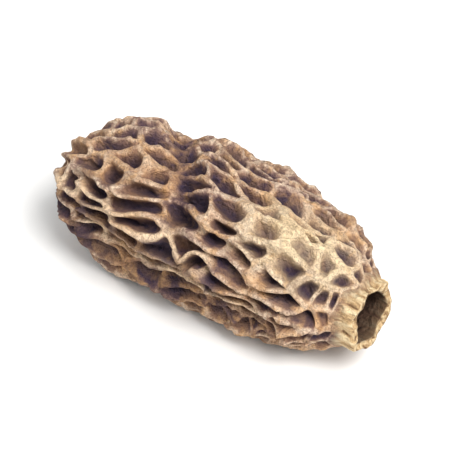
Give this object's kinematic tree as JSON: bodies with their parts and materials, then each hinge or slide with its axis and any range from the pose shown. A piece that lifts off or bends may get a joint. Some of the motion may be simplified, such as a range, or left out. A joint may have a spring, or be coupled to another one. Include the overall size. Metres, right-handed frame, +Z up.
{
  "type": "dried black morel mushroom",
  "caption": "Dried black morel lying on its side: blunt cap with a net of pale ridges round deep dark pits, and a short cut hollow foot.",
  "frame": {"origin": "middle of the mushroom's box, at the surface it lies on", "axes": "+X along the mushroom from the blunt tip to the cut foot, +Z up from the side it lies on"},
  "size_m": [0.0578, 0.0286, 0.0225],
  "materials": {
    "morel_skin": "matt, dry and finely wrinkled: pale tan ridges over dark brown pits"
  },
  "bodies": {
    "root": {"morel": "morel_skin"}
  },
  "joints": []
}
